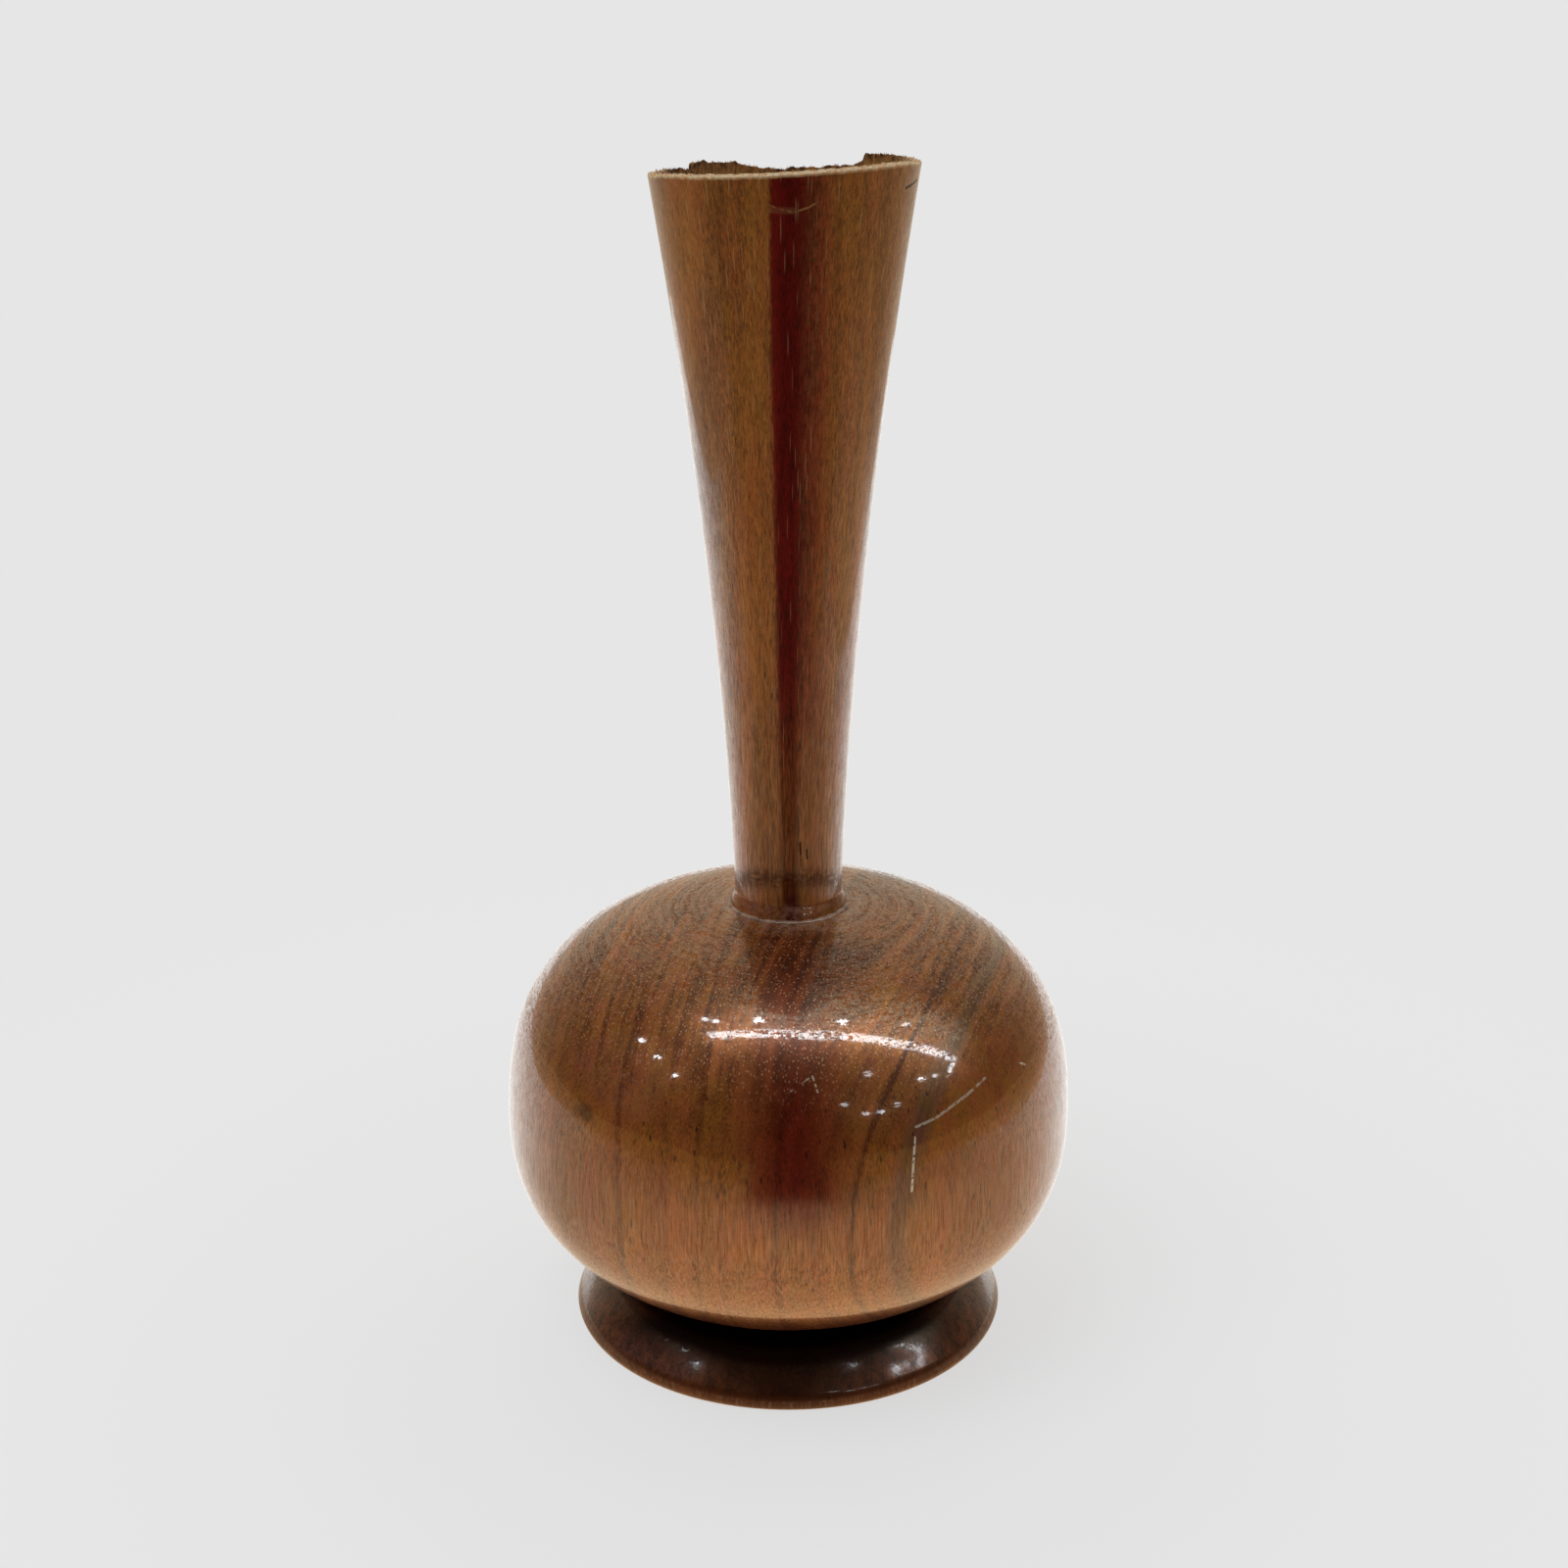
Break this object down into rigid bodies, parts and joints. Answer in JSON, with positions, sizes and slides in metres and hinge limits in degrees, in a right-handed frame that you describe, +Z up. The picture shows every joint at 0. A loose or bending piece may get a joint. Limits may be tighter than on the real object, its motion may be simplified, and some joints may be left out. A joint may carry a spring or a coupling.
{
  "type": "bud vase",
  "caption": "Turned hardwood bud vase with a thin flared neck, chipped at the rim, on a hollow oblate globe and a bevelled disc foot.",
  "frame": {"origin": "middle of the ring that the foot stands on", "axes": "+Z up along the neck, towards the rim; -Y is the side that the picture shows; +X is on its right"},
  "size_m": [0.0978, 0.0978, 0.201],
  "materials": {
    "foot_wood": "gloss lacquer",
    "globe_wood": "gloss lacquer",
    "neck_wood": "satin lacquer",
    "dried_glue": "gloss"
  },
  "bodies": {
    "root": {"foot": "foot_wood", "globe": "globe_wood", "neck": "neck_wood", "glue_collar": "dried_glue"}
  },
  "joints": []
}
